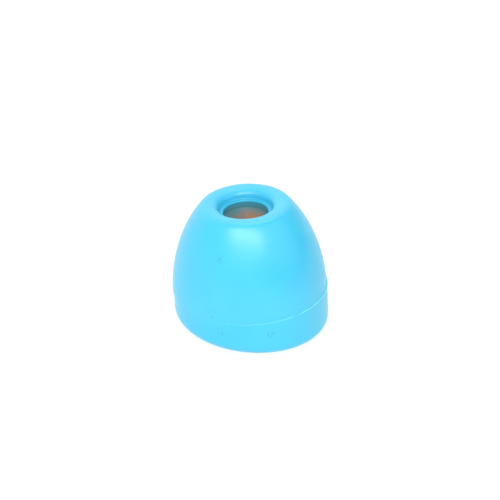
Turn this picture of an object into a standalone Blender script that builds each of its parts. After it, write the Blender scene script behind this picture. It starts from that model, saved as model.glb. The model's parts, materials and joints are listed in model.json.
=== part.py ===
"""Pipette filler bulb: a soft dome on a rounded base cup, with a rubber seat for a pipette under its mouth.

Metres, +Z up. The foot stands on the plane Z = 0, under the middle of the bulb. The bulb's own axis leans a
little toward -X, because the base is a wedge, deeper on its +X side. Heights along that axis are counted
from where it meets the foot's plane, and every piece is turned about it, apart from the base's cut
underside and the ribs and notches of the filter cage.
"""

import math

import bmesh
import bpy
from mathutils import Vector

# --- Driving dimensions ---------------------------------------------------------------------------------

BULB_DIAMETER = 0.0410  # over the dome and the base's band, at the seam
BULB_LEAN = 6.0  # degrees between the bulb's axis and the vertical
AXIS_OFFSET = 0.0008  # +X place of the axis in the foot's plane, which centres the bulb on the origin
SEAM_HEIGHT = 0.0102  # top edge of the base's band, along the axis
DOME_RISE = 0.0299  # from the seam to where the dome's curve would close
DOME_POWER = 1.115  # 1 is a quarter ellipse; more makes the dome's upper half more pointed
MOUTH_DIAMETER = 0.0118  # clear hole inside the rolled lip

LIP_WIDTH = 0.0044  # roll of the dome into the mouth, from crest to hole
LIP_DROP = 0.0025  # how far the roll dips
LIP_LAND = 0.0018  # straight wall of the hole under the roll
SHOULDER_RADIUS = 0.0026  # blend from the dome's curve to the lip's crest
DOME_WALL = 0.0022
NECK_WALL = 0.0016
NECK_LENGTH = 0.0045  # below the lip's thin edge
WEB_FILLET = 0.0010  # between the neck and the dome's inner wall

SKIRT_WALL = 0.0020  # at the seam
EDGE_BREAK = 0.0003  # small round on moulded edges

FOOT_FILLET = 0.0034  # round outer edge of the base
FOOT_WIDTH = 0.0030  # flat ring that the bulb stands on
FOOT_RECESS = 0.0006
FLOOR_THICKNESS = 0.0020
BASE_WALL = 0.0020
BASE_INNER_FILLET = 0.0025
SPIGOT_HEIGHT = 0.0052
SPIGOT_LEAD = 0.0006  # chamfer at the spigot's top edge

SEAL_THICKNESS = 0.0012
SEAL_ABOVE_SEAM = 0.0024  # middle of the seal

SEAT_MOUTH_DIAMETER = 0.0114
SEAT_THROAT_DIAMETER = 0.0064
SEAT_WALL = 0.0010
SEAT_NOZZLE_LENGTH = 0.0046  # below the seat's flange
SEAT_FLANGE_WIDTH = 0.0018
SEAT_FLANGE_THICKNESS = 0.0012

CARRIER_WALL = 0.0010
CARRIER_FLANGE_THICKNESS = 0.0012
CARRIER_FLANGE_REACH = 0.0009  # past the outside of the neck

FILTER_THICKNESS = 0.0012
CAGE_WALL = 0.0012
CAGE_SNAP = 0.0005  # how far the cage's rim hooks over the carrier's flange
CAGE_RIM_THICKNESS = 0.0008
CAGE_FLOOR = 0.0012
CAGE_PORT_DIAMETER = 0.0130
CAGE_RIB_WIDTH = 0.0016
CAGE_RIBS = 3
CAGE_NOTCHES = 4
CAGE_NOTCH_WIDTH = 0.0024
CAGE_NOTCH_DEPTH = 0.0040

# --- Clearances ------------------------------------------------------------------------------------------

REST_GAP = 0.0003  # between faces that rest on each other
SLIP_GAP = 0.0001  # between round faces that slide into each other
SPIGOT_GAP = 0.0003  # round the spigot, closed by the seal
SPIGOT_HEADROOM = 0.0011  # between the spigot's top and the top of the dome's skirt
SEAL_SIDE_GAP = 0.0002  # over and under the seal in its groove

# --- Fineness --------------------------------------------------------------------------------------------

SEGMENTS = 48
DOME_STEPS = 12
SHOULDER_STEPS = 6
ARC_STEPS = 4
LIP_STEPS = 6
SEAL_STEPS = 8
MERGE_DISTANCE = 0.00001

# --- Derived places --------------------------------------------------------------------------------------

BULB_RADIUS = BULB_DIAMETER / 2
MOUTH_RADIUS = MOUTH_DIAMETER / 2
CREST_RADIUS = MOUTH_RADIUS + LIP_WIDTH
DOME_BOTTOM = SEAM_HEIGHT + REST_GAP

SKIRT_RADIUS = BULB_RADIUS - SKIRT_WALL
SKIRT_DEPTH = SPIGOT_HEIGHT + SPIGOT_HEADROOM - REST_GAP
SPIGOT_RADIUS = SKIRT_RADIUS - SPIGOT_GAP
BASE_BORE = SPIGOT_RADIUS - BASE_WALL
FOOT_RADIUS = BULB_RADIUS - FOOT_FILLET

SEAT_RADIUS = SEAT_MOUTH_DIAMETER / 2 + SEAT_WALL
CARRIER_BORE = SEAT_RADIUS + SLIP_GAP
CARRIER_RADIUS = CARRIER_BORE + CARRIER_WALL
NECK_BORE = CARRIER_RADIUS + SLIP_GAP
NECK_RADIUS = NECK_BORE + NECK_WALL
FLANGE_RADIUS = NECK_RADIUS + CARRIER_FLANGE_REACH
CAGE_BORE = FLANGE_RADIUS + SLIP_GAP
CAGE_RADIUS = CAGE_BORE + CAGE_WALL


def dome_angle(height):
    """The dome curve's angle at a height above the seam: 0 at the seam, a right angle where it closes."""
    return math.asin((height / DOME_RISE) ** (1 / DOME_POWER))


def dome_normal(angle):
    climb = DOME_RISE * DOME_POWER * math.sin(angle) ** (DOME_POWER - 1) * math.cos(angle)
    return math.atan2(BULB_RADIUS * math.sin(angle), climb)


def dome_point(angle, depth=0.0):
    """Point (r, z) of the dome's curve, or of the curve at a depth under it."""
    normal = dome_normal(angle)
    r = BULB_RADIUS * math.cos(angle) - depth * math.cos(normal)
    z = DOME_BOTTOM + DOME_RISE * math.sin(angle) ** DOME_POWER - depth * math.sin(normal)
    return r, z


def angle_at_radius(radius, depth):
    """The dome curve's angle where the curve at a depth under it has this radius."""
    low, high = 0.0, math.pi / 2
    for _ in range(60):
        angle = (low + high) / 2
        if dome_point(angle, depth)[0] > radius:
            low = angle
        else:
            high = angle
    return angle


# A round of SHOULDER_RADIUS leaves the dome's curve here, and ends level at the lip's crest.
SHOULDER_ANGLE = angle_at_radius(CREST_RADIUS, SHOULDER_RADIUS)
SHOULDER_CENTRE = dome_point(SHOULDER_ANGLE, SHOULDER_RADIUS)
SHOULDER_SLOPE = math.degrees(dome_normal(SHOULDER_ANGLE))
BULB_HEIGHT = SHOULDER_CENTRE[1] + SHOULDER_RADIUS
LIP_BOTTOM = BULB_HEIGHT - LIP_DROP - LIP_LAND
NECK_BOTTOM = LIP_BOTTOM - NECK_LENGTH
SEAT_TOP = LIP_BOTTOM - REST_GAP
CARRIER_BOTTOM = NECK_BOTTOM - REST_GAP - CARRIER_FLANGE_THICKNESS
SEAT_FLANGE_TOP = CARRIER_BOTTOM - REST_GAP
SEAT_FLANGE_BOTTOM = SEAT_FLANGE_TOP - SEAT_FLANGE_THICKNESS
SEAT_BOTTOM = SEAT_FLANGE_BOTTOM - SEAT_NOZZLE_LENGTH
FILTER_TOP = SEAT_BOTTOM - REST_GAP
CAGE_FLOOR_TOP = FILTER_TOP - FILTER_THICKNESS - REST_GAP
CAGE_BOTTOM = CAGE_FLOOR_TOP - CAGE_FLOOR
CAGE_SNAP_BOTTOM = NECK_BOTTOM + SLIP_GAP
CAGE_TOP = CAGE_SNAP_BOTTOM + CAGE_RIM_THICKNESS


# --- Helpers ---------------------------------------------------------------------------------------------


def clear_scene():
    for old in list(bpy.data.objects):
        bpy.data.objects.remove(old)


def new_collection(name):
    made = bpy.data.collections.new(name)
    bpy.context.scene.collection.children.link(made)
    return made


def material(name, colour, roughness, metallic=0.0):
    made = bpy.data.materials.new(name)
    made.use_nodes = True
    shader = made.node_tree.nodes["Principled BSDF"]
    shader.inputs["Base Color"].default_value = (*colour, 1.0)
    shader.inputs["Roughness"].default_value = roughness
    shader.inputs["Metallic"].default_value = metallic
    return made


def oval(centre, width, height, start, end, steps):
    """Points of an ellipse of these half sizes in the (r, z) plane, between two angles in degrees."""
    angles = [math.radians(start + (end - start) * i / steps) for i in range(steps + 1)]
    return [(centre[0] + width * math.cos(a), centre[1] + height * math.sin(a)) for a in angles]


def arc(centre, radius, start, end, steps):
    return oval(centre, radius, radius, start, end, steps)


def turned(name, profile, look, parent, collection, closed=True):
    """A solid of revolution about Z. The profile is (r, z) points that run down the outer side.

    A closed profile makes a ring. An open one starts and ends on the axis.
    """
    mesh = bpy.data.meshes.new(name)
    edges = [(i, i + 1) for i in range(len(profile) - 1)]
    if closed:
        edges.append((len(profile) - 1, 0))
    mesh.from_pydata([(r, 0.0, z) for r, z in profile], edges, [])
    piece = bpy.data.objects.new(name, mesh)
    collection.objects.link(piece)
    screw = piece.modifiers.new("Turn", "SCREW")
    screw.axis = "Z"
    screw.steps = SEGMENTS
    screw.render_steps = SEGMENTS
    screw.use_merge_vertices = True
    screw.merge_threshold = MERGE_DISTANCE
    screw.use_smooth_shade = True
    return finish(piece, look, parent)


def finish(piece, look, parent):
    piece.data.materials.clear()
    piece.data.materials.append(look)
    piece.parent = parent
    return piece


def primitive(name, collection):
    """Takes the primitive that was just added into a collection, under a name."""
    piece = bpy.context.active_object
    piece.name = name
    for holder in list(piece.users_collection):
        holder.objects.unlink(piece)
    collection.objects.link(piece)
    return piece


def helper(piece):
    piece.hide_render = True
    piece.display_type = "WIRE"
    return piece


def boolean(piece, other, operation):
    step = piece.modifiers.new(operation.title(), "BOOLEAN")
    step.operation = operation
    step.solver = "EXACT"
    step.object = other


def frame(name, parent=None):
    """An empty that a body's pieces hang from, on the bulb's axis."""
    made = bpy.data.objects.new(name, None)
    made.empty_display_size = BULB_RADIUS / 2
    bpy.context.scene.collection.objects.link(made)
    made.parent = parent
    return made


# --- Pieces ----------------------------------------------------------------------------------------------


def make_dome(look, parent, collection):
    """Soft dome: outer curve, shoulder, rolled lip, inner neck for the carrier, and a bored skirt."""
    inner_low = dome_angle(SKIRT_DEPTH + DOME_WALL / 2)
    inner_high = angle_at_radius(NECK_RADIUS + 2 * WEB_FILLET, DOME_WALL)
    inner_step = (inner_high - inner_low) / DOME_STEPS
    lip_centre = (CREST_RADIUS, BULB_HEIGHT - LIP_DROP)

    outer = arc(SHOULDER_CENTRE, SHOULDER_RADIUS, 90, SHOULDER_SLOPE, SHOULDER_STEPS)
    outer += [dome_point(SHOULDER_ANGLE * (1 - i / DOME_STEPS)) for i in range(1, DOME_STEPS)]
    outer += arc((BULB_RADIUS - EDGE_BREAK, DOME_BOTTOM + EDGE_BREAK), EDGE_BREAK, 0, -90, 2)
    skirt = [
        (SKIRT_RADIUS, DOME_BOTTOM),
        (SKIRT_RADIUS, DOME_BOTTOM + SKIRT_DEPTH),
    ]
    inner = [dome_point(inner_low + inner_step * i, DOME_WALL) for i in range(DOME_STEPS + 1)]
    web = arc((NECK_RADIUS + WEB_FILLET, inner[-1][1]), WEB_FILLET, 0, 180, 2 * ARC_STEPS)[1:]
    neck = [
        (NECK_RADIUS, NECK_BOTTOM),
        (NECK_BORE, NECK_BOTTOM),
        (NECK_BORE, LIP_BOTTOM),
        (MOUTH_RADIUS, LIP_BOTTOM),
    ]
    lip = oval(lip_centre, LIP_WIDTH, LIP_DROP, 180, 90, LIP_STEPS)[:-1]
    return turned("bulb_dome", outer + skirt + inner + web + neck + lip, look, parent, collection)


def cut_cylinder(name, radius, top, level, fillet, collection):
    """Cylinder on the bulb's axis, cut level below at a height over the foot's plane, with a rounded cut edge."""
    lean = math.radians(BULB_LEAN)
    upright = Vector((math.sin(lean), 0, math.cos(lean)))
    shape = bmesh.new()
    bmesh.ops.create_cone(
        shape, cap_ends=True, segments=SEGMENTS, radius1=radius, radius2=radius, depth=4 * top
    )
    bmesh.ops.translate(shape, vec=(0, 0, -top), verts=shape.verts)
    cut = bmesh.ops.bisect_plane(
        shape,
        geom=[*shape.verts, *shape.edges, *shape.faces],
        plane_co=upright * level,
        plane_no=upright,
        clear_inner=True,
    )
    rim = [part for part in cut["geom_cut"] if isinstance(part, bmesh.types.BMEdge)]
    bmesh.ops.contextual_create(shape, geom=rim)
    bmesh.ops.bevel(
        shape,
        geom=rim,
        offset=fillet,
        offset_type="OFFSET",
        segments=LIP_STEPS,
        profile=0.5,
        affect="EDGES",
    )
    bmesh.ops.recalc_face_normals(shape, faces=shape.faces)
    mesh = bpy.data.meshes.new(name)
    shape.to_mesh(mesh)
    shape.free()
    piece = bpy.data.objects.new(name, mesh)
    collection.objects.link(piece)
    return piece


def make_base_cup(look, parent, collection, cutters):
    """Wedge-shaped cup with a foot ring, a floor, and a spigot that the dome's skirt slides over."""
    spigot_top = SEAM_HEIGHT + SPIGOT_HEIGHT
    groove_middle = SEAM_HEIGHT + SEAL_ABOVE_SEAM
    groove_low = groove_middle - SEAL_THICKNESS / 2 - SEAL_SIDE_GAP
    groove_high = groove_middle + SEAL_THICKNESS / 2 + SEAL_SIDE_GAP
    groove_radius = SPIGOT_RADIUS + SPIGOT_GAP / 2 - SEAL_THICKNESS - SLIP_GAP
    root = SEAM_HEIGHT - BASE_WALL

    cup = cut_cylinder("base_cup", BULB_RADIUS, SEAM_HEIGHT, 0.0, FOOT_FILLET, collection)
    cup.parent = parent
    edge = cup.modifiers.new("Band edge", "BEVEL")
    edge.width = EDGE_BREAK
    edge.segments = 2
    edge.limit_method = "ANGLE"
    edge.angle_limit = math.radians(60)

    plug_profile = [
        (0.0, spigot_top),
        (SPIGOT_RADIUS - SPIGOT_LEAD, spigot_top),
        (SPIGOT_RADIUS, spigot_top - SPIGOT_LEAD),
        (SPIGOT_RADIUS, groove_high),
        (groove_radius, groove_high),
        (groove_radius, groove_low),
        (SPIGOT_RADIUS, groove_low),
        (SPIGOT_RADIUS, root),
        (0.0, root),
    ]
    plug = helper(turned("base_spigot", plug_profile, look, parent, cutters, closed=False))
    boolean(cup, plug, "UNION")

    floor_top = FOOT_RECESS + FLOOR_THICKNESS
    bore = cut_cylinder("base_bore", BASE_BORE, 2 * SEAM_HEIGHT, floor_top, BASE_INNER_FILLET, cutters)
    boolean(cup, helper(finish(bore, look, parent)), "DIFFERENCE")

    recess_radius = FOOT_RADIUS - FOOT_WIDTH
    bpy.ops.mesh.primitive_cone_add(
        vertices=SEGMENTS,
        radius1=recess_radius + FOOT_RECESS,
        radius2=recess_radius - FOOT_RECESS,
        depth=2 * FOOT_RECESS,
        location=(AXIS_OFFSET, 0, 0),
    )
    boolean(cup, helper(primitive("base_recess", cutters)), "DIFFERENCE")
    return finish(cup, look, parent)


def make_base_seal(look, parent, collection):
    """Round sealing ring in the spigot's groove, as it lies when the dome is on."""
    bpy.ops.mesh.primitive_torus_add(
        major_radius=SPIGOT_RADIUS + SPIGOT_GAP / 2 - SEAL_THICKNESS / 2,
        minor_radius=SEAL_THICKNESS / 2,
        major_segments=SEGMENTS,
        minor_segments=SEAL_STEPS,
        location=(0, 0, SEAM_HEIGHT + SEAL_ABOVE_SEAM),
    )
    seal = primitive("base_seal", collection)
    seal.data.shade_smooth()
    return finish(seal, look, parent)


def make_pipette_seat(look, parent, collection):
    """Rubber cone that grips the pipette's top: sleeve in the carrier, clamped flange, free nozzle."""
    mouth = SEAT_MOUTH_DIAMETER / 2
    throat = SEAT_THROAT_DIAMETER / 2
    profile = [
        (mouth, SEAT_TOP),
        (SEAT_RADIUS, SEAT_TOP),
        (SEAT_RADIUS, SEAT_FLANGE_TOP),
        (SEAT_RADIUS + SEAT_FLANGE_WIDTH, SEAT_FLANGE_TOP),
        (SEAT_RADIUS + SEAT_FLANGE_WIDTH, SEAT_FLANGE_BOTTOM),
        (throat + 2 * SEAT_WALL, SEAT_FLANGE_BOTTOM),
        (throat + SEAT_WALL, SEAT_BOTTOM),
        (throat, SEAT_BOTTOM),
    ]
    return turned("pipette_seat", profile, look, parent, collection)


def make_seat_carrier(look, parent, collection):
    """Rigid sleeve pushed up into the dome's neck, with a flange under the neck's end."""
    flange_top = CARRIER_BOTTOM + CARRIER_FLANGE_THICKNESS
    profile = [
        (CARRIER_BORE, SEAT_TOP),
        (CARRIER_RADIUS, SEAT_TOP),
        (CARRIER_RADIUS, flange_top),
        (FLANGE_RADIUS, flange_top),
        (FLANGE_RADIUS, CARRIER_BOTTOM),
        (CARRIER_BORE, CARRIER_BOTTOM),
    ]
    return turned("seat_carrier", profile, look, parent, collection)


def make_filter_disc(look, parent, collection):
    """Porous disc that lets air through and stops liquid."""
    bpy.ops.mesh.primitive_cylinder_add(
        vertices=SEGMENTS,
        radius=CAGE_BORE - SLIP_GAP,
        depth=FILTER_THICKNESS,
        location=(0, 0, FILTER_TOP - FILTER_THICKNESS / 2),
    )
    disc = primitive("filter_disc", collection)
    disc.data.shade_smooth()
    disc.data.set_sharp_from_angle(angle=math.radians(40))
    return finish(disc, look, parent)


def make_filter_cage(look, parent, collection, cutters):
    """Cup that snaps over the carrier's flange and holds the filter, with ribs across its air port."""
    port_radius = CAGE_PORT_DIAMETER / 2
    profile = [
        (CAGE_BORE - CAGE_SNAP, CAGE_TOP),
        (CAGE_RADIUS - EDGE_BREAK, CAGE_TOP),
        (CAGE_RADIUS, CAGE_TOP - EDGE_BREAK),
        (CAGE_RADIUS, CAGE_BOTTOM + EDGE_BREAK),
        (CAGE_RADIUS - EDGE_BREAK, CAGE_BOTTOM),
        (port_radius, CAGE_BOTTOM),
        (port_radius, CAGE_FLOOR_TOP),
        (CAGE_BORE, CAGE_FLOOR_TOP),
        (CAGE_BORE, CAGE_SNAP_BOTTOM),
        (CAGE_BORE - CAGE_SNAP, CAGE_SNAP_BOTTOM),
    ]
    cage = turned("filter_cage", profile, look, parent, collection)

    for i in range(CAGE_RIBS):
        bpy.ops.mesh.primitive_cube_add(
            size=1,
            scale=(2 * port_radius + CAGE_WALL, CAGE_RIB_WIDTH, CAGE_FLOOR - 2 * EDGE_BREAK),
            location=(0, 0, CAGE_BOTTOM + CAGE_FLOOR / 2),
            rotation=(0, 0, math.pi * i / CAGE_RIBS),
        )
        rib = helper(primitive(f"cage_rib_{i + 1}", cutters))
        rib.parent = parent
        boolean(cage, rib, "UNION")

    for i in range(CAGE_NOTCHES // 2):
        bpy.ops.mesh.primitive_cube_add(
            size=1,
            scale=(4 * CAGE_RADIUS, CAGE_NOTCH_WIDTH, 2 * CAGE_NOTCH_DEPTH),
            location=(0, 0, CAGE_TOP),
            rotation=(0, 0, math.radians(45) + math.pi * i / (CAGE_NOTCHES // 2)),
        )
        notch = helper(primitive(f"cage_notch_{i + 1}", cutters))
        notch.parent = parent
        boolean(cage, notch, "DIFFERENCE")
    return cage


# --- Assembly --------------------------------------------------------------------------------------------


def main():
    clear_scene()
    pieces = new_collection("pipette_filler_bulb")
    cutters = new_collection("cutters")

    soft_blue = material("soft_blue_silicone", (0.10, 0.72, 0.93), 0.42)
    firm_blue = material("firm_blue_plastic", (0.09, 0.70, 0.92), 0.38)
    amber = material("amber_rubber", (0.47, 0.20, 0.10), 0.55)
    black = material("black_rubber", (0.03, 0.03, 0.035), 0.6)
    white = material("white_plastic", (0.82, 0.84, 0.85), 0.4)
    fibre = material("filter_fibre", (0.90, 0.90, 0.87), 0.9)

    base = frame("base_frame")
    base.location.x = AXIS_OFFSET
    base.rotation_euler.y = -math.radians(BULB_LEAN)
    bulb = frame("bulb_frame", base)
    mouth = frame("mouth_frame", bulb)

    make_base_cup(firm_blue, base, pieces, cutters)
    make_base_seal(black, base, pieces)
    make_dome(soft_blue, bulb, pieces)
    make_seat_carrier(white, mouth, pieces)
    make_pipette_seat(amber, mouth, pieces)
    make_filter_disc(fibre, mouth, pieces)
    make_filter_cage(white, mouth, pieces, cutters)


main()
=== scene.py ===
import json
import math

import bpy
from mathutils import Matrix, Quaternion, Vector


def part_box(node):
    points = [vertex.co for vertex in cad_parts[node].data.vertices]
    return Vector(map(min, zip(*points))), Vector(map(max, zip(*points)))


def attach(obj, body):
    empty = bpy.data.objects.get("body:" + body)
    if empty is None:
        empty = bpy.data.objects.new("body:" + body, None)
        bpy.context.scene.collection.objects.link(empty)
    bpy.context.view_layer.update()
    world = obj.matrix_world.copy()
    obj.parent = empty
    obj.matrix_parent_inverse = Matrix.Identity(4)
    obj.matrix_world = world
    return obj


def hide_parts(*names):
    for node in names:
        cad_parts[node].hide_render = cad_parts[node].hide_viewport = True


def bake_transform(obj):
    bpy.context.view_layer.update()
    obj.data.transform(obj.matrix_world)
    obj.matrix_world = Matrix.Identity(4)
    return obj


mm = 0.001
fullTurn = 2 * math.pi

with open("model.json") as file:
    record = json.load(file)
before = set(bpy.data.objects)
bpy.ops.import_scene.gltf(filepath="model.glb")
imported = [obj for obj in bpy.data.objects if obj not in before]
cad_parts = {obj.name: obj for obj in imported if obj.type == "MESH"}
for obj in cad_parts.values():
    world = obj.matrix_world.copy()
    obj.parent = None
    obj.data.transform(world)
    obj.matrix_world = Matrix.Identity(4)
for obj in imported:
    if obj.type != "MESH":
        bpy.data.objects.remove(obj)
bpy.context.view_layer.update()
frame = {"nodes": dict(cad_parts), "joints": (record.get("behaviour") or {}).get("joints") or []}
print("frame loaded:", len(frame["nodes"]), "nodes")

# The bulb's axis leans a little. The joint gives its direction, and it runs through the filter's middle.
# Every turned piece is drawn upright, with heights along the axis from the ground, then takes this place.
pullOff = next(joint for joint in frame["joints"] if joint["name"] == "bulb_pull_off")
axisDirection = Vector(pullOff["axis"]).normalized()
filterMiddle = sum(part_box("filter_disc"), Vector()) / 2
axisFoot = filterMiddle - axisDirection * (filterMiddle.z / axisDirection.z)
lean = math.atan2(axisDirection.x, axisDirection.z)


def onAxis(height):
    return axisFoot + axisDirection * height


def clearSelection():
    bpy.ops.object.select_all(action="DESELECT")


def makeActive(piece):
    clearSelection()
    piece.select_set(True)
    bpy.context.view_layer.objects.active = piece


def ovalPoints(centre, halfWidth, halfHeight, startAngle, endAngle, steps):
    # points (radius, height) of an oval's arc, angles in degrees
    angles = [math.radians(startAngle + (endAngle - startAngle) * i / steps) for i in range(steps + 1)]
    return [(centre[0] + halfWidth * math.cos(a), centre[1] + halfHeight * math.sin(a)) for a in angles]


def roundPoints(centre, radius, startAngle, endAngle, steps=4):
    return ovalPoints(centre, radius, radius, startAngle, endAngle, steps)


def turnOutline(name, outline, steps, closed=True):
    # a single point is drawn out along the outline, then spun round the upright axis
    clearSelection()
    bpy.ops.mesh.primitive_plane_add(size=mm, location=(0, 0, 0))
    piece = bpy.context.active_object
    piece.name = piece.data.name = name
    bpy.ops.object.mode_set(mode="EDIT")
    bpy.ops.mesh.select_mode(type="VERT")
    bpy.ops.mesh.select_all(action="SELECT")
    bpy.ops.mesh.merge(type="CENTER")
    bpy.ops.transform.translate(value=(outline[0][0], 0, outline[0][1]))
    stops = outline + outline[:1] if closed else outline
    for here, there in zip(stops, stops[1:]):
        move = (there[0] - here[0], 0, there[1] - here[1])
        bpy.ops.mesh.extrude_region_move(TRANSFORM_OT_translate={"value": move})
    bpy.ops.mesh.select_all(action="SELECT")
    bpy.ops.mesh.remove_doubles(threshold=0.0005 * mm)
    bpy.ops.mesh.spin(steps=steps, angle=fullTurn, center=(0, 0, 0), axis=(0, 0, 1))
    bpy.ops.mesh.select_all(action="SELECT")
    bpy.ops.mesh.remove_doubles(threshold=0.0005 * mm)
    bpy.ops.mesh.normals_make_consistent(inside=False)
    bpy.ops.object.mode_set(mode="OBJECT")
    return piece


def standOnAxis(piece):
    makeActive(piece)
    piece.rotation_euler.y = lean
    piece.location = axisFoot
    bpy.ops.object.transform_apply(location=True, rotation=True, scale=True)
    return piece


def applyModifiers(piece):
    makeActive(piece)
    for modifier in list(piece.modifiers):
        bpy.ops.object.modifier_apply(modifier=modifier.name)


def roundCorners(piece, width, sharpness=35, segments=3):
    bevel = piece.modifiers.new("rounded corners", "BEVEL")
    bevel.width = width
    bevel.segments = segments
    bevel.limit_method = "ANGLE"
    bevel.angle_limit = math.radians(sharpness)
    bevel.use_clamp_overlap = True
    applyModifiers(piece)
    return piece


def combine(piece, tool, operation):
    boolean = piece.modifiers.new("combine", "BOOLEAN")
    boolean.operation = operation
    boolean.solver = "EXACT"
    boolean.object = tool
    applyModifiers(piece)
    bpy.data.objects.remove(tool)
    return piece


def smooth(piece, angle=32):
    makeActive(piece)
    bpy.ops.object.shade_smooth_by_angle(angle=math.radians(angle))
    return piece


def selectFaces(piece, wanted):
    # leaves the piece in edit mode with the faces for which wanted(face) is true selected
    makeActive(piece)
    bpy.ops.object.mode_set(mode="EDIT")
    bpy.ops.mesh.select_mode(type="FACE")
    bpy.ops.mesh.select_all(action="DESELECT")
    bpy.ops.object.mode_set(mode="OBJECT")
    for face in piece.data.polygons:
        face.select = wanted(face)
    bpy.ops.object.mode_set(mode="EDIT")


def newFinish(name, colour, roughness):
    # a material with its Principled shader set up; the patterns are joined to it after
    finish = bpy.data.materials.new(name)
    finish.use_nodes = True
    finish.diffuse_color = (*colour, 1)
    shader = finish.node_tree.nodes["Principled BSDF"]
    shader.inputs["Base Color"].default_value = (*colour, 1)
    shader.inputs["Roughness"].default_value = roughness
    return finish, shader


def soften(shader, share, depth, tint=None):
    # a share of the light goes a little way under the skin
    shader.inputs["Subsurface Weight"].default_value = share
    shader.inputs["Subsurface Scale"].default_value = depth
    if tint:
        shader.inputs["Subsurface Radius"].default_value = tint


def addNode(finish, kind, inputs=None, **settings):
    # one node; its inputs are given as values, or as another node's output to link
    node = finish.node_tree.nodes.new(kind)
    for setting, value in settings.items():
        setattr(node, setting, value)
    for socket, value in (inputs or {}).items():
        if isinstance(value, bpy.types.NodeSocket):
            finish.node_tree.links.new(value, node.inputs[socket])
        else:
            node.inputs[socket].default_value = value
    return node


def link(finish, output, target):
    finish.node_tree.links.new(output, target)


def objectPlace(finish):
    return addNode(finish, "ShaderNodeTexCoord").outputs["Object"]


def noise(finish, place, size, detail=3.0, roughness=0.5, distortion=0.0):
    # size is the length of one blotch of the pattern
    values = {"Vector": place, "Scale": 1 / size, "Detail": detail}
    values.update({"Roughness": roughness, "Distortion": distortion})
    return addNode(finish, "ShaderNodeTexNoise", values).outputs["Fac"]


def remap(finish, value, low, high, newLow, newHigh, smoothly=False):
    return addNode(
        finish,
        "ShaderNodeMapRange",
        {"Value": value, "From Min": low, "From Max": high, "To Min": newLow, "To Max": newHigh},
        interpolation_type="SMOOTHSTEP" if smoothly else "LINEAR",
    ).outputs["Result"]


def mixColours(finish, amount, first, second):
    node = addNode(finish, "ShaderNodeMix", data_type="RGBA")
    for socket, value in ((0, amount), (6, first), (7, second)):
        if isinstance(value, bpy.types.NodeSocket):
            link(finish, value, node.inputs[socket])
        else:
            node.inputs[socket].default_value = (*value, 1) if isinstance(value, tuple) else value
    return node.outputs[2]


def shadeBetween(finish, pattern, low, high, first, second):
    # the first colour where the pattern is low, the second where it is high
    return mixColours(finish, remap(finish, pattern, low, high, 0, 1), first, second)


def calculate(finish, operation, first, second):
    return addNode(finish, "ShaderNodeMath", {0: first, 1: second}, operation=operation).outputs["Value"]


def vectorMath(finish, operation, first, second=(0, 0, 0)):
    return addNode(finish, "ShaderNodeVectorMath", {0: first, 1: second}, operation=operation)


def bump(finish, shader, height, strength, depth):
    inputs = {"Height": height, "Strength": strength, "Distance": depth}
    link(finish, addNode(finish, "ShaderNodeBump", inputs).outputs["Normal"], shader.inputs["Normal"])


def xOf(finish, place):
    return addNode(finish, "ShaderNodeSeparateXYZ", {"Vector": place}).outputs["X"]


def fromAxisFoot(finish, place):
    return vectorMath(finish, "SUBTRACT", place, tuple(axisFoot)).outputs["Vector"]


def axisHeight(finish, place):
    # height along the bulb's own axis
    along = vectorMath(finish, "DOT_PRODUCT", fromAxisFoot(finish, place), tuple(axisDirection))
    return along.outputs["Value"]


def axisRadius(finish, place):
    # distance from the bulb's own axis
    crossed = vectorMath(finish, "CROSS_PRODUCT", fromAxisFoot(finish, place), tuple(axisDirection))
    return vectorMath(finish, "LENGTH", crossed.outputs["Vector"]).outputs["Value"]


siliconeLook = {
    "colour": (0.056, 0.595, 0.88),
    "paler": (0.060, 0.610, 0.89),
    "deeper": (0.052, 0.580, 0.87),
    "blotch": 14 * mm,
    "roughness": 0.335,
    "handling": 0.03,  # how far the roughness goes up and down
    "gloss": 0.7,
    "softness": 0.25,  # share of light that goes under the skin
    "softDepth": 1.0 * mm,
    "softTint": (0.5, 0.9, 1.0),
    "grain": 0.35 * mm,
    "grainStrength": 0.12,
    "rubDark": (0.03, 0.38, 0.58),
    "rubPale": (0.14, 0.72, 0.92),
    "ledge": (0.012, 0.45, 0.68),  # painted shade on the ledge round the hole
    "ledgeDeepening": 0.85,
    "ledgeEdge": (6.85 * mm, 7.08 * mm),  # the distances from the axis between which it fades
    "holeTop": (0.008, 0.32, 0.46),  # painted shade on the hole's wall, darkest under the rim and browner toward the seat as painted bounce light from it
    "holeBottom": (0.16, 0.46, 0.54),
    "holeHeights": (32.1 * mm, 30.4 * mm),
    "holeEdge": (5.95 * mm, 6.05 * mm),
}
grainDepth = 0.02 * mm

# small rubbed marks, where they sit on the bulb and how wide they are
rubMarks = [
    {"place": (-8.8 * mm, -15.2 * mm, 26.0 * mm), "width": 1.6 * mm, "strength": 0.6},
    {"place": (-10.1 * mm, -18.0 * mm, 11.1 * mm), "width": 1.5 * mm, "strength": 0.45},
    {"place": (-7.7 * mm, -19.0 * mm, 6.5 * mm), "width": 1.7 * mm, "strength": 0.5},
    {"place": (5.2 * mm, -19.9 * mm, 7.2 * mm), "width": 1.6 * mm, "strength": 0.55},
    {"place": (13.5 * mm, 9.0 * mm, 24.0 * mm), "width": 1.5 * mm, "strength": 0.45},
    {"place": (-12.0 * mm, 14.5 * mm, 14.0 * mm), "width": 1.7 * mm, "strength": 0.5},
]


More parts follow.
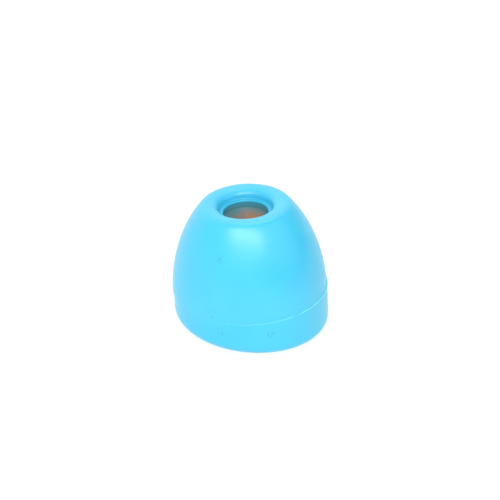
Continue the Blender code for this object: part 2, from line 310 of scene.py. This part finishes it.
def addRubMark(finish, place, colour, mark, look):
    # a small patch of dark and pale streaks that fades outwards
    width = mark["width"]
    away = vectorMath(finish, "DISTANCE", place, mark["place"]).outputs["Value"]
    near = remap(finish, away, width * 0.3, width, mark["strength"], 0, smoothly=True)
    streaks = noise(finish, place, width * 0.45, detail=2, distortion=0.6)
    dark = calculate(finish, "MULTIPLY", near, remap(finish, streaks, 0.47, 0.62, 0, 1))
    pale = calculate(finish, "MULTIPLY", near, remap(finish, streaks, 0.47, 0.36, 0, 0.35))
    return mixColours(finish, pale, mixColours(finish, dark, colour, look["rubDark"]), look["rubPale"])


def addWornEdge(finish, place, colour, look):
    # painted highlight: the band's top edge is painted pale, most on one side, and not the spigot inside it
    side = remap(finish, xOf(finish, place), 0, look["wornAcross"], *look["wornShares"])
    patches = remap(finish, noise(finish, place, look["wornPatch"]), 0.35, 0.6, 0.5, 1)
    onBand = remap(finish, axisRadius(finish, place), *look["wornEdges"], 0, 1)
    rubbed = calculate(finish, "MULTIPLY", calculate(finish, "MULTIPLY", side, patches), onBand)
    worn = remap(finish, axisHeight(finish, place), *look["wornHeights"], 0, rubbed)
    return mixColours(finish, worn, colour, look["wornColour"])


def addDullHole(finish, place, colour, look):
    # painted shade: a deeper colour on the ledge round the hole, and a darker colour on the hole's wall,
    # browner lower down as painted bounce light from the seat
    top, bottom = look["holeHeights"]
    height, reach = axisHeight(finish, place), axisRadius(finish, place)
    onLedge = remap(finish, reach, *look["ledgeEdge"], look["ledgeDeepening"], 0)
    colour = mixColours(finish, onLedge, colour, look["ledge"])
    inHole = remap(finish, reach, *look["holeEdge"], 1, 0)
    inside = remap(finish, height, top - 0.1 * mm, top + 0.05 * mm, inHole, 0)
    # painted shade on the hole's wall, from dark under the rim to browner lower down
    dulled = shadeBetween(finish, height, bottom, top, look["holeBottom"], look["holeTop"])
    return mixColours(finish, inside, colour, dulled)


def makeBlueFinish(name, look, marks):
    finish, shader = newFinish(name, look["colour"], look["roughness"])
    shader.inputs["Specular IOR Level"].default_value = look["gloss"]
    soften(shader, look["softness"], look["softDepth"], look["softTint"])
    place = objectPlace(finish)
    blotches = noise(finish, place, look["blotch"], detail=4)
    colour = shadeBetween(finish, blotches, 0.35, 0.65, look["deeper"], look["paler"])
    for mark in marks:
        colour = addRubMark(finish, place, colour, mark, look)
    if "wornColour" in look:
        colour = addWornEdge(finish, place, colour, look)
    if "holeTop" in look:
        colour = addDullHole(finish, place, colour, look)
    link(finish, colour, shader.inputs["Base Color"])
    touch = noise(finish, place, look["blotch"] / 5, detail=5, roughness=0.6)
    least, most = look["roughness"] - look["handling"], look["roughness"] + look["handling"]
    link(finish, remap(finish, touch, 0.3, 0.7, least, most), shader.inputs["Roughness"])
    bump(finish, shader, noise(finish, place, look["grain"], detail=2), look["grainStrength"], grainDepth)
    return finish


siliconeFinish = makeBlueFinish("softBlueSilicone", siliconeLook, rubMarks)

# the base's harder plastic has the same blue
plasticLook = {key: siliconeLook[key] for key in siliconeLook if not key.startswith(("hole", "ledge"))}
plasticLook.update(roughness=0.34, softness=0.10, grain=0.5 * mm, gloss=0.55)
plasticLook.update(
    # painted highlight: a pale line along the band's top edge
    wornColour=(0.24, 0.90, 1.0),
    wornHeights=(9.88 * mm, 10.02 * mm),
    wornEdges=(19.2 * mm, 19.6 * mm),
    wornAcross=16 * mm,  # how far to the side it is at its palest
    wornShares=(0.28, 0.8),
    wornPatch=3 * mm,
)
blueFinish = makeBlueFinish("satinBluePlastic", plasticLook, rubMarks)

seatLook = {
    "colour": (0.50, 0.235, 0.120),
    "paler": (0.54, 0.255, 0.130),
    "deeper": (0.46, 0.215, 0.110),
    "cloud": 3 * mm,
    "stain": (0.10, 0.285, 0.330),  # painted shade: a dark blue-grey tint on the cone's mouth
    "stainHeights": (27.8 * mm, 30.4 * mm),
    "stainMiddle": 0.3 * mm,  # and lower down at its two sides
    "stainReach": (1.2 * mm, 4.8 * mm),
    "stainSides": 0.5,
    "stainThinning": 0.6,
    "roughness": 0.5,
    "bloom": 1.2 * mm,
    "bloomRoughness": (0.44, 0.58),
    "softness": 0.15,
    "softDepth": 0.6 * mm,
    "softTint": (1.0, 0.4, 0.2),
    "grain": 0.25 * mm,
    "grainStrength": 0.15,
}


def makeSeatFinish(look):
    finish, shader = newFinish("amberRubber", look["colour"], look["roughness"])
    soften(shader, look["softness"], look["softDepth"], look["softTint"])
    place = objectPlace(finish)
    cloud = noise(finish, place, look["cloud"], detail=4)
    colour = shadeBetween(finish, cloud, 0.35, 0.65, look["deeper"], look["paler"])
    # painted shade: the cone is tinted dark blue-grey near its top and at its two sides, where less light
    # reaches
    nearTop = remap(finish, axisHeight(finish, place), *look["stainHeights"], 0, 1)
    offMiddle = calculate(finish, "SUBTRACT", xOf(finish, place), look["stainMiddle"])
    sideways = calculate(finish, "ABSOLUTE", offMiddle, 0)
    atSides = remap(finish, sideways, *look["stainReach"], 0, look["stainSides"])
    thinned = calculate(finish, "MULTIPLY", nearTop, look["stainThinning"])
    stained = calculate(finish, "MAXIMUM", nearTop, calculate(finish, "ADD", atSides, thinned))
    link(finish, mixColours(finish, stained, colour, look["stain"]), shader.inputs["Base Color"])
    bloom = noise(finish, place, look["bloom"], detail=4)
    link(finish, remap(finish, bloom, 0.3, 0.7, *look["bloomRoughness"]), shader.inputs["Roughness"])
    bump(finish, shader, noise(finish, place, look["grain"], detail=2), look["grainStrength"], grainDepth)
    return finish


seatFinish = makeSeatFinish(seatLook)

rubberLook = {
    "colour": (0.018, 0.018, 0.020),
    "shades": ((0.016, 0.016, 0.018), (0.045, 0.044, 0.042)),
    "cloud": {"size": 0.8 * mm, "detail": 5, "roughness": 0.65},
    "cloudRange": (0.5, 0.75),
    "roughness": 0.5,
    "roughnessRange": (0.42, 0.62),
    "grain": 0.15 * mm,
    "grainStrength": 0.2,
}
whiteLook = {
    "colour": (0.78, 0.79, 0.78),
    "shades": ((0.76, 0.77, 0.75), (0.80, 0.81, 0.80)),
    "cloud": {"size": 5 * mm, "detail": 4},
    "cloudRange": (0.35, 0.65),
    "roughness": 0.35,
    "roughnessRange": (0.30, 0.40),
    "softness": 0.08,
    "softDepth": 0.5 * mm,
    "grain": 0.4 * mm,
    "grainStrength": 0.08,
}


def makeCloudyFinish(name, look):
    # one cloudy pattern shades the colour and the gloss
    finish, shader = newFinish(name, look["colour"], look["roughness"])
    if "softness" in look:
        soften(shader, look["softness"], look["softDepth"])
    place = objectPlace(finish)
    cloud = noise(finish, place, **look["cloud"])
    colour = shadeBetween(finish, cloud, *look["cloudRange"], *look["shades"])
    link(finish, colour, shader.inputs["Base Color"])
    link(finish, remap(finish, cloud, 0.3, 0.7, *look["roughnessRange"]), shader.inputs["Roughness"])
    bump(finish, shader, noise(finish, place, look["grain"], detail=2), look["grainStrength"], grainDepth)
    return finish


rubberFinish = makeCloudyFinish("blackRubber", rubberLook)
whiteFinish = makeCloudyFinish("whitePlastic", whiteLook)

filterLook = {
    "colour": (0.84, 0.83, 0.78),
    "beadTop": (0.86, 0.85, 0.81),
    # painted shade: the pores between the beads are coloured darker
    "pore": (0.58, 0.56, 0.50),
    "bead": 0.22 * mm,
    "beadRelief": 0.08 * mm,
    "roughness": 0.9,
}


def makeFilterFinish(look):
    finish, shader = newFinish("sinteredFilter", look["colour"], look["roughness"])
    pattern = {"Vector": objectPlace(finish), "Scale": 1 / look["bead"]}
    beads = addNode(finish, "ShaderNodeTexVoronoi", pattern).outputs["Distance"]
    # painted shade: the colour darkens where the bump sinks between the beads
    colour = shadeBetween(finish, beads, 0.3, 0.8, look["beadTop"], look["pore"])
    link(finish, colour, shader.inputs["Base Color"])
    link(finish, remap(finish, beads, 0.2, 0.8, 0.8, 0.95), shader.inputs["Roughness"])
    bump(finish, shader, remap(finish, beads, 0.1, 0.8, 1, 0), 0.8, look["beadRelief"])
    return finish


filterFinish = makeFilterFinish(filterLook)
print("finishes ready")


def addPiece(piece, finish, node, body):
    piece.data.materials.clear()
    piece.data.materials.append(finish)
    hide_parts(node)
    if body:
        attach(piece, body)
    print("piece ready:", piece.name, len(piece.data.polygons), "faces")


# the soft dome: curved wall, a lip that rolls in to a narrow ledge round the hole, neck and skirt inside
dome = {
    "radius": 20.5 * mm,
    "bottom": 10.205 * mm,  # just over the base's band
    "curveBottom": 10.5 * mm,
    "rise": 29.9 * mm,
    "power": 1.115,  # 1 is a quarter of an oval; more makes the upper half more pointed
    "wall": 2.2 * mm,
    "shoulder": 2.6 * mm,
    "crestRadius": 10.3 * mm,
    "crestCurve": 12.2 * mm,  # radius of the slight fall from the crest in to the mouth's edge
    "fall": 7,  # degrees
    "mouthRound": 2.0 * mm,
    "mouthWall": 7.03 * mm,
    "ledgeFillet": 0.45 * mm,
    "ledgeRise": 0.02 * mm,
    "holeRadius": 5.9 * mm,
    "holeRound": 0.3 * mm,
    "lipDrop": 2.5 * mm,
    "lipLand": 1.8 * mm,
    "lipCorner": 0.03 * mm,
    "neckRadius": 9.5 * mm,
    "neckBore": 7.9 * mm,
    "neckLength": 4.5 * mm,
    "neckCorner": 0.2 * mm,
    "webFillet": 1.0 * mm,
    "skirtBore": 18.5 * mm,
    "skirtTop": 16.5 * mm,
    "skirtSlope": 1.1 * mm,  # height of the slope between the skirt and the curved wall
    "edgeRound": 0.04 * mm,
    "turns": 160,
}


def domeNormal(angle):
    climb = dome["rise"] * dome["power"] * math.sin(angle) ** (dome["power"] - 1) * math.cos(angle)
    return math.atan2(dome["radius"] * math.sin(angle), climb)


def domePoint(angle, depth=0.0):
    normal = domeNormal(angle)
    radius = dome["radius"] * math.cos(angle) - depth * math.cos(normal)
    height = dome["curveBottom"] + dome["rise"] * math.sin(angle) ** dome["power"]
    return radius, height - depth * math.sin(normal)


def domeAngle(radius, depth):
    # where the curve at a depth under the surface comes in to this radius
    low, high = 0.0, math.pi / 2
    for _ in range(60):
        angle = (low + high) / 2
        if domePoint(angle, depth)[0] > radius:
            low = angle
        else:
            high = angle
    return angle


def drawDome():
    shoulderAngle = domeAngle(dome["crestRadius"], dome["shoulder"])
    shoulderCentre = domePoint(shoulderAngle, dome["shoulder"])
    shoulderSlope = math.degrees(domeNormal(shoulderAngle))
    crestHeight = shoulderCentre[1] + dome["shoulder"]
    lipHeight = crestHeight - dome["lipDrop"]
    lipBottom = lipHeight - dome["lipLand"]
    neckBottom = lipBottom - dome["neckLength"]
    hole, edge, bottom = dome["holeRadius"], dome["edgeRound"], dome["bottom"]
    fall, mouthRound = dome["fall"], dome["mouthRound"]
    fillet, holeRound = dome["ledgeFillet"], dome["holeRound"]
    crestCentre = (dome["crestRadius"], crestHeight - dome["crestCurve"])
    edgeStart = roundPoints(crestCentre, dome["crestCurve"], 90, 90 + fall, 8)
    turn = math.radians(90 + fall)
    edgeX, edgeZ = edgeStart[-1]
    edgeCentre = (edgeX - mouthRound * math.cos(turn), edgeZ - mouthRound * math.sin(turn))

    # outside, from the seam up to the shoulder and over it
    outline = roundPoints((dome["radius"] - edge, bottom + edge), edge, -90, 0, 5)
    outline += [domePoint(shoulderAngle * i / 44) for i in range(0, 44)]
    outline += roundPoints(shoulderCentre, dome["shoulder"], shoulderSlope, 90, 10)
    # over the mouth's edge, down to the ledge round the hole, and the hole's straight wall
    outline += edgeStart[1:] + roundPoints(edgeCentre, mouthRound, 90 + fall, 180, 12)[1:]
    ledge = (dome["mouthWall"] - fillet, lipHeight + dome["ledgeRise"] + fillet)
    outline += roundPoints(ledge, fillet, 0, -90, 6)
    outline += roundPoints((hole + holeRound, lipHeight - holeRound), holeRound, 90, 180, 5)
    outline += [(hole, lipBottom + dome["lipCorner"]), (hole + dome["lipCorner"], lipBottom)]
    # inside: neck, web and wall down to the skirt
    outline += [(dome["neckBore"], lipBottom)]
    corner = dome["neckCorner"]
    outline += roundPoints((dome["neckBore"] + corner, neckBottom + corner), corner, 180, 270, 3)
    outline += roundPoints((dome["neckRadius"] - corner, neckBottom + corner), corner, 270, 360, 3)
    innerTop = domeAngle(dome["neckRadius"] + 2 * dome["webFillet"], dome["wall"])
    wallClimb = (dome["skirtTop"] - dome["curveBottom"] + dome["skirtSlope"]) / dome["rise"]
    innerBottom = math.asin(wallClimb ** (1 / dome["power"]))
    web = (dome["neckRadius"] + dome["webFillet"], domePoint(innerTop, dome["wall"])[1])
    outline += roundPoints(web, dome["webFillet"], 180, 0, 10)
    outline += [domePoint(innerTop + (innerBottom - innerTop) * i / 30, dome["wall"]) for i in range(1, 31)]
    outline += [(dome["skirtBore"], dome["skirtTop"])]
    outline += roundPoints((dome["skirtBore"] + edge, bottom + edge), edge, 180, 270, 4)
    return turnOutline("dome", outline, dome["turns"])


domePiece = smooth(standOnAxis(drawDome()), 50)
addPiece(domePiece, siliconeFinish, "bulb_dome", None)
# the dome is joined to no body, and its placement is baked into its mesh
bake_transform(domePiece)

# the base cup: a wedge with a rounded bottom edge, a foot ring, and a spigot that goes up into the dome
base = {
    "radius": 20.5 * mm,
    "bandTop": 10.2 * mm,
    "bandRound": 0.25 * mm,
    "swell": 0.12 * mm,  # the band's top edge stands a little proud
    "swellStart": (1.5 * mm, 1.0 * mm),  # under the band's top
    "seatRound": 0.15 * mm,  # where the spigot stands on the band
    "footRound": 3.4 * mm,
    "footWidth": 3.0 * mm,
    "recess": 0.6 * mm,
    "recessSlope": 0.6 * mm,
    "gateMark": ((0.16, 0), (0.85, 0.25 * mm), (0.45, 0), (0.85, -0.2 * mm)),  # each step's scale and rise
    "spigotRadius": 18.2 * mm,
    "spigotTop": 15.4 * mm,
    "spigotLead": 0.6 * mm,
    "groove": (11.8 * mm, 13.4 * mm),
    "grooveRadius": 17.05 * mm,
    "grooveEdge": 0.08 * mm,
    "grooveFoot": 0.1 * mm,
    "bore": 16.2 * mm,
    "boreFlare": 0.3 * mm,
    "floor": 2.6 * mm,  # over the ground
    "boreRound": 2.5 * mm,
    "below": -8 * mm,  # the turned shapes start under the ground and are cut off level
    "aside": 0.22 * mm,  # the base sits a little to one side of the dome
    "turns": 160,
}


def cutLevel(piece, height, rounding, segments):
    # cuts away what is under a level, closes the cut, and rounds its edge
    makeActive(piece)
    bpy.ops.object.mode_set(mode="EDIT")
    bpy.ops.mesh.select_all(action="SELECT")
    bpy.ops.mesh.bisect(plane_co=(0, 0, height), plane_no=(0, 0, 1), use_fill=True, clear_inner=True)
    bpy.ops.object.mode_set(mode="OBJECT")
    selectFaces(piece, lambda face: face.normal.z < -0.99 and abs(face.center.z - height) < 0.01 * mm)
    bpy.ops.mesh.region_to_loop()
    bpy.ops.mesh.bevel(offset=rounding, segments=segments, profile=0.5, offset_type="OFFSET")
    bpy.ops.object.mode_set(mode="OBJECT")
    return piece


def makeBase():
    top, middle = base["bandTop"], base["spigotTop"]
    radius, bandRound, swell = base["radius"], base["bandRound"], base["swell"]
    spigot, lead, seatRound = base["spigotRadius"], base["spigotLead"], base["seatRound"]
    low, high = base["swellStart"]
    outline = [(0, base["below"]), (radius, base["below"])]
    outline += [(radius, top - low), (radius + 0.3 * swell, top - high)]
    outline += roundPoints((radius + swell - bandRound, top - bandRound), bandRound, 0, 90, 6)
    outline += roundPoints((spigot + seatRound, top + seatRound), seatRound, 270, 180, 3)
    # the groove's lower and upper corners, then the chamfer at the spigot's top
    edge, inset, deep = base["grooveEdge"], base["grooveFoot"], base["grooveRadius"]
    for height, bend in zip(base["groove"], (1, -1)):
        corner = [(spigot, height - bend * edge), (spigot - edge, height)]
        foot = [(deep + inset, height), (deep, height + bend * inset)]
        outline += corner + foot if bend == 1 else (corner + foot)[::-1]
    outline += [(spigot, middle - lead), (spigot - 0.04 * mm, middle - lead + 0.1 * mm)]
    outline += [(spigot - lead + 0.1 * mm, middle - 0.04 * mm), (spigot - lead, middle)]
    outline += [(0, middle)]
    cup = standOnAxis(turnOutline("baseCup", outline, base["turns"], closed=False))
    cutLevel(cup, 0, base["footRound"], 14)

    # the foot ring, and the shallow hollow inside it with the round mark of the mould's gate
    selectFaces(cup, lambda face: face.normal.z < -0.99 and face.center.z < 0.01 * mm)
    bpy.ops.mesh.inset(thickness=base["footWidth"])
    bpy.ops.mesh.inset(thickness=base["recessSlope"], depth=-base["recess"])
    middlePoint = (axisFoot.x, 0, base["recess"])
    for scale, rise in base["gateMark"]:
        bpy.ops.mesh.extrude_region_move(TRANSFORM_OT_translate={"value": (0, 0, rise)})
        bpy.ops.transform.resize(value=(scale, scale, 1), center_override=middlePoint)
    bpy.ops.object.mode_set(mode="OBJECT")

    # the bore, with a level floor and a rounded top edge
    flare, over = base["boreFlare"], middle + 2 * mm
    hollow = [(0, base["below"]), (base["bore"], base["below"])]
    hollow += roundPoints((base["bore"] + flare, middle - flare), flare, 180, 90, 4)
    hollow += [(base["bore"] + flare, over), (0, over)]
    bore = standOnAxis(turnOutline("bore", hollow, base["turns"], closed=False))
    cutLevel(bore, base["floor"], base["boreRound"], 8)
    combine(cup, bore, "DIFFERENCE")
    cup.location.x = base["aside"]
    bpy.ops.object.transform_apply(location=True, rotation=True, scale=True)
    return smooth(cup)


addPiece(makeBase(), blueFinish, "base_cup", "base")

# the sealing ring: slightly flattened, with the mould's fine flash line round it
seal = {
    "radius": 17.76 * mm,
    "height": 12.6 * mm,
    "halfWidth": 0.58 * mm,
    "halfHeight": 0.62 * mm,
    "flash": 0.05 * mm,
    "turns": 160,
}


def makeSeal():
    centre = (seal["radius"], seal["height"])
    outline = []
    reach = seal["halfHeight"] + seal["flash"]
    for side, end in ((0, reach), (180, -reach)):
        outline += ovalPoints(centre, seal["halfWidth"], seal["halfHeight"], side - 84, side + 84, 14)
        outline.append((centre[0], centre[1] + end))
    return turnOutline("sealRing", outline, seal["turns"])


addPiece(smooth(standOnAxis(makeSeal()), 40), rubberFinish, "base_seal", "base")

# the pipette's seat: a rubber cone with a clamped flange, a free nozzle and low grip ribs inside
seat = {
    "mouth": 5.9 * mm,
    "throat": 3.2 * mm,
    "outer": 6.7 * mm,
    "top": 30.42 * mm,
    "flange": (22.95 * mm, 24.15 * mm),
    "flangeRadius": 8.5 * mm,
    "bottom": 18.35 * mm,
    "wall": 1.0 * mm,
    "mouthEdge": 0.03 * mm,
    "topEdge": 0.3 * mm,
    "flangeFillet": 0.2 * mm,
    "corner": 0.25 * mm,
    "ribs": 3,
    "firstRib": 2 * mm,  # over the bottom
    "ribSpacing": 1.5 * mm,
    "ribHeight": 0.12 * mm,
    "turns": 144,
}
# a rib's outline: distance from the rib's middle in mm, and share of its height
ribOutline = ((-0.4, 0), (-0.2, 0.7), (0, 1), (0.2, 0.7), (0.4, 0))


def makeSeat():
    low, high = seat["flange"]
    slope = (seat["mouth"] - seat["throat"]) / (seat["top"] - seat["bottom"])

    def coneRadius(height):
        return seat["throat"] + slope * (height - seat["bottom"])

    mouth, throat, outer = seat["mouth"], seat["throat"], seat["outer"]
    top, bottom, flange = seat["top"], seat["bottom"], seat["flangeRadius"]
    mouthEdge, topEdge = seat["mouthEdge"], seat["topEdge"]
    fillet, corner = seat["flangeFillet"], seat["corner"]
    outline = roundPoints((mouth + mouthEdge, top - mouthEdge), mouthEdge, 180, 90, 2)
    outline += roundPoints((outer - topEdge, top - topEdge), topEdge, 90, 0, 4)
    outline += [(outer, high + fillet), (outer + fillet, high)]
    outline += roundPoints((flange - corner, high - corner), corner, 90, 0, 4)
    outline += roundPoints((flange - corner, low + corner), corner, 0, -90, 4)
    nozzleTop, nozzleBottom = throat + 2 * seat["wall"], throat + seat["wall"]
    outline += [(nozzleTop + 0.3 * mm, low), (nozzleTop - 0.05 * mm, low - 0.3 * mm)]
    outline += roundPoints((nozzleBottom - corner, bottom + corner), corner, 0, -90, 4)
    outline += roundPoints((throat + corner, bottom + corner), corner, 270, 180, 4)
    for i in range(seat["ribs"]):
        middle = bottom + seat["firstRib"] + i * seat["ribSpacing"]
        for offset, share in ribOutline:
            height = middle + offset * mm
            outline.append((coneRadius(height) - share * seat["ribHeight"], height))
    return turnOutline("pipetteSeat", outline, seat["turns"])


addPiece(smooth(standOnAxis(makeSeat()), 40), seatFinish, "pipette_seat", "mouth_unit")

# the stiff sleeve round the seat, in the dome's neck
sleeve = {
    "bore": 6.8 * mm,
    "outer": 7.8 * mm,
    "top": 30.15 * mm,
    "flange": (24.45 * mm, 25.65 * mm),
    "flangeRadius": 10.4 * mm,
    "corner": 0.15 * mm,
    "turns": 144,
}


def makeSleeve():
    low, high = sleeve["flange"]
    bore, outer, flange, top = (sleeve[key] for key in ("bore", "outer", "flangeRadius", "top"))
    outline = [(bore, low), (bore, top), (outer, top), (outer, high), (flange, high), (flange, low)]
    return roundCorners(turnOutline("seatSleeve", outline, sleeve["turns"]), sleeve["corner"])


addPiece(smooth(standOnAxis(makeSleeve())), whiteFinish, "seat_carrier", "mouth_unit")

# the filter: a disc of sintered beads
filterDisc = {
    "radius": 10.4 * mm,
    "bottom": 16.85 * mm,
    "top": 18.05 * mm,
    "corner": 0.2 * mm,
    "rings": 30,
    "beads": 0.35 * mm,
    "poreDepth": 0.1 * mm,
    "turns": 144,
}


def makeFilter():
    low, high, corner, rings = (filterDisc[key] for key in ("bottom", "top", "corner", "rings"))
    flat = filterDisc["radius"] - corner
    outline = [(flat * i / rings, low) for i in range(rings)]
    outline += roundPoints((flat, low + corner), corner, -90, 0, 4)
    outline += roundPoints((flat, high - corner), corner, 0, 90, 4)
    outline += [(flat * i / rings, high) for i in range(rings - 1, -1, -1)]
    disc = turnOutline("filterPad", outline, filterDisc["turns"], closed=False)
    beads = bpy.data.textures.new("beads", "STUCCI")
    beads.noise_scale = filterDisc["beads"]
    pores = disc.modifiers.new("pores", "DISPLACE")
    pores.texture = beads
    pores.texture_coords = "LOCAL"
    pores.mid_level = 1.0
    pores.strength = filterDisc["poreDepth"]
    applyModifiers(disc)
    return disc


addPiece(smooth(standOnAxis(makeFilter()), 60), filterFinish, "filter_disc", "mouth_unit")

# the cage that snaps over the sleeve's flange, with notches that let it spring and ribs under the filter
cage = {
    "bore": 10.5 * mm,
    "outer": 11.7 * mm,
    "top": 26.85 * mm,
    "snapBottom": 26.05 * mm,
    "snap": 0.5 * mm,
    "snapLead": 0.3 * mm,
    "floor": (15.35 * mm, 16.55 * mm),
    "port": 6.5 * mm,
    "corner": 0.12 * mm,
    "ribs": 3,
    "ribWidth": 1.6 * mm,
    "ribOverlap": 1.2 * mm,
    "ribSetIn": 0.3 * mm,  # lower than the floor is thick
    "notches": 4,
    "notchWidth": 2.4 * mm,
    "notchDepth": 4.0 * mm,
    "barRound": 0.15 * mm,
    "turns": 144,
}


def addBar(name, size, middle, turn):
    # a bar with rounded edges
    clearSelection()
    bpy.ops.mesh.primitive_cube_add(size=1, location=(0, 0, 0))
    bar = bpy.context.active_object
    bar.name = bar.data.name = name
    bpy.ops.object.mode_set(mode="EDIT")
    bpy.ops.mesh.select_all(action="SELECT")
    bpy.ops.transform.resize(value=size)
    bpy.ops.mesh.bevel(offset=cage["barRound"], segments=2, offset_type="OFFSET")
    bpy.ops.object.mode_set(mode="OBJECT")
    bar.location = middle
    bar.rotation_euler.z = turn
    bpy.ops.object.transform_apply(location=True, rotation=True, scale=True)
    return bar


def makeCage():
    low, high = cage["floor"]
    bore, outer, port, top = (cage[key] for key in ("bore", "outer", "port", "top"))
    lip, lead, snapBottom = bore - cage["snap"], cage["snapLead"], cage["snapBottom"]
    outline = [(port, low), (outer, low), (outer, top), (lip + lead, top), (lip, top - lead)]
    outline += [(lip, snapBottom), (bore, snapBottom), (bore, high), (port, high)]
    cup = roundCorners(turnOutline("filterCage", outline, cage["turns"]), cage["corner"], segments=2)
    for i in range(cage["ribs"]):
        size = (2 * port + cage["ribOverlap"], cage["ribWidth"], high - low - cage["ribSetIn"])
        rib = addBar("rib", size, (0, 0, (low + high) / 2), math.pi * i / cage["ribs"])
        combine(cup, rib, "UNION")
    for i in range(cage["notches"] // 2):
        size = (4 * outer, cage["notchWidth"], 2 * cage["notchDepth"])
        notch = addBar("notch", size, (0, 0, top), math.pi * (0.25 + i * 2 / cage["notches"]))
        combine(cup, notch, "DIFFERENCE")
    return cup


addPiece(smooth(standOnAxis(makeCage())), whiteFinish, "filter_cage", "mouth_unit")

# floor, light and sky
studio = {
    "floorSize": 6.0,
    "floorColour": 0.3,
    "floorGlow": 0.78,
    "skyAround": 0.33,
    "skyBehind": 0.90,
    "skyLeft": 0.28,
    "skyRight": -0.60,
    "skyAbove": 0.20,
}
# each lamp's direction is its azimuth and elevation in degrees
softboxes = [
    {"name": "key", "energy": 1.70, "size": (0.60, 0.06), "distance": 0.55, "direction": (-7, 45)},
    {"name": "wide", "energy": 0.60, "size": (0.65, 0.24), "distance": 0.60, "direction": (1, 31)},
    {"name": "side", "energy": 0.95, "size": (0.60, 0.50), "distance": 0.60, "direction": (68, 30)},
    {"name": "overhead", "energy": 0.50, "size": (0.35, 0.25), "distance": 0.60, "direction": (-10, 108)},
]


def makeFloor():
    clearSelection()
    bpy.ops.mesh.primitive_plane_add(size=studio["floorSize"], location=(0, 0, 0))
    floor = bpy.context.active_object
    floor.name = "floor"
    finish, shader = newFinish("paleFloor", (studio["floorColour"],) * 3, 0.9)
    shader.inputs["Specular IOR Level"].default_value = 0.1
    shader.inputs["Emission Color"].default_value = (1, 1, 1, 1)
    shader.inputs["Emission Strength"].default_value = studio["floorGlow"]
    floor.data.materials.append(finish)


def outward(azimuth, elevation):
    # the direction from the bulb to a lamp or the camera, angles in degrees
    turn, tilt = math.radians(azimuth), math.radians(elevation)
    return Vector((math.sin(turn) * math.cos(tilt), -math.cos(turn) * math.cos(tilt), math.sin(tilt)))


def addSoftbox(settings):
    light = bpy.data.lights.new(settings["name"], "AREA")
    light.shape = "RECTANGLE"
    light.size, light.size_y = settings["size"]
    light.energy = settings["energy"]
    lamp = bpy.data.objects.new(settings["name"], light)
    bpy.context.scene.collection.objects.link(lamp)
    away = outward(*settings["direction"])
    lamp.location = onAxis(20 * mm) + away * settings["distance"]
    lamp.rotation_euler = away.to_track_quat("Z", "Y").to_euler()


makeFloor()
for softbox in softboxes:
    addSoftbox(softbox)

sky = bpy.data.worlds.new("studioSky")
bpy.context.scene.world = sky
sky.use_nodes = True
skyShader = sky.node_tree.nodes["Background"]
skyShader.inputs["Color"].default_value = (1, 1, 1, 1)
direction = addNode(sky, "ShaderNodeSeparateXYZ", {"Vector": objectPlace(sky)}).outputs
around = studio["skyAround"]
strength = remap(sky, direction["Y"], 0, 1, around, around + studio["skyBehind"])
for part in (
    remap(sky, direction["X"], -1, 0, studio["skyLeft"], 0),
    remap(sky, direction["X"], 0, 1, 0, studio["skyRight"]),
    remap(sky, direction["Z"], 0.4, 1, 0, studio["skyAbove"]),
):
    strength = calculate(sky, "ADD", strength, part)
link(sky, strength, skyShader.inputs["Strength"])

shot = {
    "azimuth": -2.35,
    "elevation": 29.38,
    "roll": 3.80,
    "distance": 0.520,
    "lens": 141.23,
    "sensor": 36,
    "aim": (0, 0, 17 * mm),
    "aside": -0.551 * mm,  # the lens points a little beside and above the aim
    "above": 3.132 * mm,
}


def placeCamera():
    camera = bpy.data.objects.new("camera", bpy.data.cameras.new("camera"))
    bpy.context.scene.collection.objects.link(camera)
    camera.data.lens = shot["lens"]
    camera.data.sensor_width = shot["sensor"]
    camera.data.clip_start, camera.data.clip_end = 0.01, 20
    back = outward(shot["azimuth"], shot["elevation"])
    level = (-back).to_track_quat("-Z", "Y")
    camera.rotation_mode = "QUATERNION"
    camera.rotation_quaternion = level @ Quaternion((0, 0, 1), math.radians(shot["roll"]))
    sideways = camera.rotation_quaternion @ Vector((1, 0, 0))
    upwards = camera.rotation_quaternion @ Vector((0, 1, 0))
    camera.location = Vector(shot["aim"]) + back * shot["distance"]
    camera.location += sideways * shot["aside"] + upwards * shot["above"]
    bpy.context.scene.camera = camera


placeCamera()
bpy.context.scene.view_settings.view_transform = "Standard"
bpy.context.scene.view_settings.look = "None"
print("studio ready")
